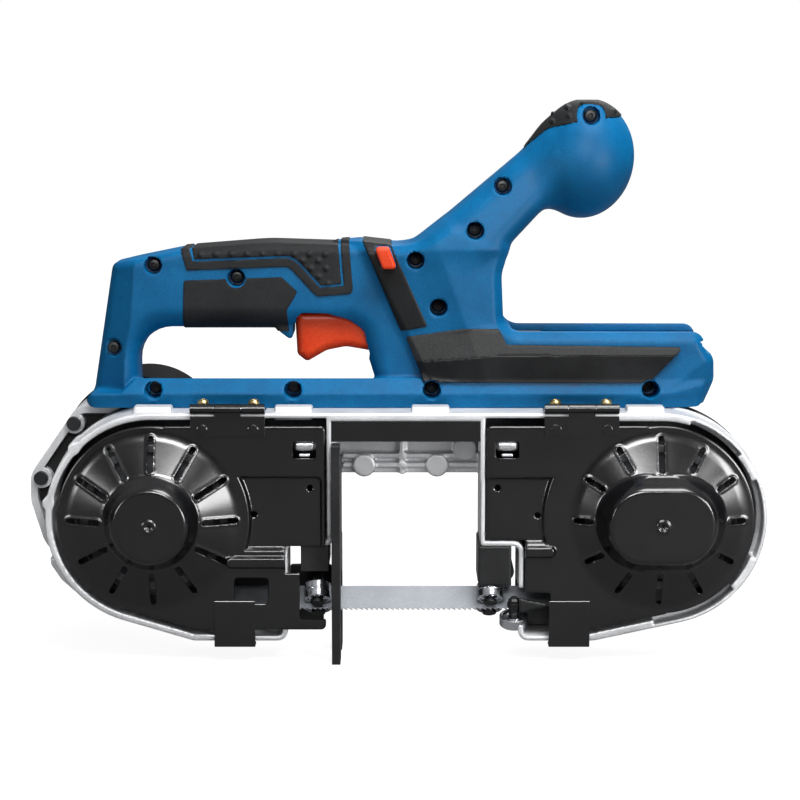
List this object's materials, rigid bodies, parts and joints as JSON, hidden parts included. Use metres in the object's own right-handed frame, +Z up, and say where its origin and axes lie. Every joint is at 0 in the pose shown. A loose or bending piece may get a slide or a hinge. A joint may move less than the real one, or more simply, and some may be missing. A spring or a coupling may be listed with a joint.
{
  "type": "portable band saw",
  "caption": "Cordless hand-held band saw: blue D-handle body with front knob over a cast frame with two guarded wheels, an endless blade across an open throat, and a work stop.",
  "frame": {"origin": "middle of the bounding box in X and Y, at its lowest point, the tip of the work stop", "axes": "+X along the saw from the driven wheel to the tensioned wheel, +Y away from the guards towards the motor, +Z up"},
  "size_m": [0.364, 0.156, 0.272],
  "materials": {
    "cast_aluminium": "die-cast, fine blasted",
    "cast_aluminium_dark": "die-cast, blasted",
    "zinc_steel": "bright zinc plated",
    "bearing_steel": "ground",
    "dark_nylon": "moulded, fine texture",
    "lamination": "varnished laminations",
    "machined_steel": "turned and ground",
    "blade_steel": "rolled, satin",
    "zinc_casting": "zinc die casting",
    "black_steel": "black powder coat",
    "guard_black": "black semi-gloss paint",
    "blue_nylon": "glass-filled nylon, satin",
    "screw_black": "black oxide",
    "soft_black": "textured elastomer",
    "black_nylon": "moulded, satin",
    "contact_brass": "plated",
    "wheel_aluminium": "cast and turned",
    "tyre_rubber": "moulded rubber",
    "gear_steel": "hardened and ground",
    "red_plastic": "moulded, semi-gloss"
  },
  "bodies": {
    "frame": {"frame_tray": "cast_aluminium", "gear_case": "cast_aluminium_dark", "gear_cover": "cast_aluminium_dark", "m4_bolts": "zinc_steel", "m3_screws": "zinc_steel", "ball_bearings": "bearing_steel", "motor_housing": "dark_nylon", "motor_end_cap": "dark_nylon", "stator": "lamination", "slide_rails": "machined_steel", "lever_bolt": "zinc_steel", "saw_blade": "blade_steel", "guide_blocks": "zinc_casting", "guide_pins": "machined_steel", "work_stop": "black_steel", "hinge_fixed_leaves": "black_steel", "hinge_pins": "machined_steel", "bridge_guard": "black_steel", "housing_near": "blue_nylon", "housing_far": "blue_nylon", "housing_screws": "screw_black", "soft_grips": "soft_black", "trim_bands": "black_nylon", "side_panels": "black_nylon", "trigger_pin": "machined_steel", "switch_body": "black_nylon", "control_module": "black_nylon", "terminal_block": "black_nylon", "battery_contacts": "contact_brass"},
    "drive_train": {"drive_wheel": "wheel_aluminium", "drive_tyre": "tyre_rubber", "drive_shaft": "machined_steel", "drive_wheel_bolt": "zinc_steel", "output_gear": "gear_steel"},
    "layshaft": {"layshaft": "gear_steel", "layshaft_gear": "gear_steel"},
    "rotor": {"rotor": "lamination", "rotor_shaft": "gear_steel", "cooling_fan": "black_nylon"},
    "tension_slide": {"tension_block": "machined_steel", "tension_pusher": "machined_steel", "tension_spring": "machined_steel", "idler_axle": "machined_steel"},
    "idler": {"idler_wheel": "wheel_aluminium", "idler_tyre": "tyre_rubber", "idler_bearings": "bearing_steel"},
    "tension_lever": {"tension_lever": "black_steel"},
    "guard_left": {"guard_left": "guard_black", "hinge_leaf_left": "black_steel", "catch_left": "black_steel"},
    "guard_right": {"guard_right": "guard_black", "hinge_leaf_right": "black_steel", "catch_right": "black_steel"},
    "trigger": {"trigger": "red_plastic"},
    "switch_plunger": {"switch_plunger": "black_nylon"},
    "lock_button": {"lock_button": "red_plastic"},
    "roller_left_near": {"roller_left_near": "bearing_steel"},
    "roller_left_far": {"roller_left_far": "bearing_steel"},
    "roller_right_near": {"roller_right_near": "bearing_steel"},
    "roller_right_far": {"roller_right_far": "bearing_steel"}
  },
  "joints": [
    {"name": "drive_wheel_spin", "type": "hinge", "parent": "frame", "child": "drive_train", "pos_m": [-0.1174, -0.047, 0.0703], "axis": [0, 1, 0], "continuous": true},
    {"name": "layshaft_spin", "type": "hinge", "parent": "frame", "child": "layshaft", "pos_m": [-0.14666, 0, 0.07691], "axis": [0, 1, 0], "continuous": true},
    {"name": "rotor_spin", "type": "hinge", "parent": "frame", "child": "rotor", "pos_m": [-0.13174, 0.03, 0.09361], "axis": [0, 1, 0], "continuous": true},
    {"name": "tension_lever_turn", "type": "hinge", "parent": "frame", "child": "tension_lever", "pos_m": [0.0932, -0.01, 0.0703], "axis": [0, 1, 0], "range_deg": [0, 90]},
    {"name": "tension_slide_move", "type": "slide", "parent": "frame", "child": "tension_slide", "axis": [1, 0, 0], "range_m": [-0.008, 0]},
    {"name": "idler_spin", "type": "hinge", "parent": "tension_slide", "child": "idler", "pos_m": [0.1286, -0.047, 0.0703], "axis": [0, 1, 0], "continuous": true},
    {"name": "guard_left_swing", "type": "hinge", "parent": "frame", "child": "guard_left", "pos_m": [-0.08037, -0.062, 0.1253], "axis": [-1, 0, 0], "range_deg": [0, 100]},
    {"name": "guard_right_swing", "type": "hinge", "parent": "frame", "child": "guard_right", "pos_m": [0.09027, -0.062, 0.1253], "axis": [-1, 0, 0], "range_deg": [0, 100]},
    {"name": "trigger_pull", "type": "hinge", "parent": "frame", "child": "trigger", "pos_m": [-0.00946, -0.02, 0.16347], "axis": [0, 1, 0], "range_deg": [0, 8.5], "stiffness_Nm_per_rad": 0.6},
    {"name": "switch_plunger_slide", "type": "slide", "parent": "frame", "child": "switch_plunger", "axis": [0, 0, 1], "range_m": [0, 0.0035]},
    {"name": "lock_off_push", "type": "slide", "parent": "frame", "child": "lock_button", "axis": [0, 1, 0], "range_m": [-0.0025, 0.0025], "stiffness_N_per_m": 400},
    {"name": "roller_left_near_spin", "type": "hinge", "parent": "frame", "child": "roller_left_near", "pos_m": [-0.03778, -0.05242, 0.03286], "axis": [0, -0.5592, -0.829], "continuous": true},
    {"name": "roller_left_far_spin", "type": "hinge", "parent": "frame", "child": "roller_left_far", "pos_m": [-0.03778, -0.04074, 0.02498], "axis": [0, -0.5592, -0.829], "continuous": true},
    {"name": "roller_right_near_spin", "type": "hinge", "parent": "frame", "child": "roller_right_near", "pos_m": [0.04696, -0.05242, 0.03286], "axis": [0, -0.5592, -0.829], "continuous": true},
    {"name": "roller_right_far_spin", "type": "hinge", "parent": "frame", "child": "roller_right_far", "pos_m": [0.04696, -0.04074, 0.02498], "axis": [0, -0.5592, -0.829], "continuous": true}
  ],
  "couplings": [
    {"joint": "layshaft_spin", "follows": "drive_wheel_spin", "ratio": -4},
    {"joint": "rotor_spin", "follows": "drive_wheel_spin", "ratio": 16.364},
    {"joint": "idler_spin", "follows": "drive_wheel_spin", "ratio": 1},
    {"joint": "tension_slide_move", "follows": "tension_lever_turn", "m_per_rad": -0.005093},
    {"joint": "switch_plunger_slide", "follows": "trigger_pull", "m_per_rad": 0.02275},
    {"joint": "roller_left_near_spin", "follows": "drive_wheel_spin", "ratio": -5.8462},
    {"joint": "roller_left_far_spin", "follows": "drive_wheel_spin", "ratio": 5.8462},
    {"joint": "roller_right_near_spin", "follows": "drive_wheel_spin", "ratio": -5.8462},
    {"joint": "roller_right_far_spin", "follows": "drive_wheel_spin", "ratio": 5.8462}
  ]
}
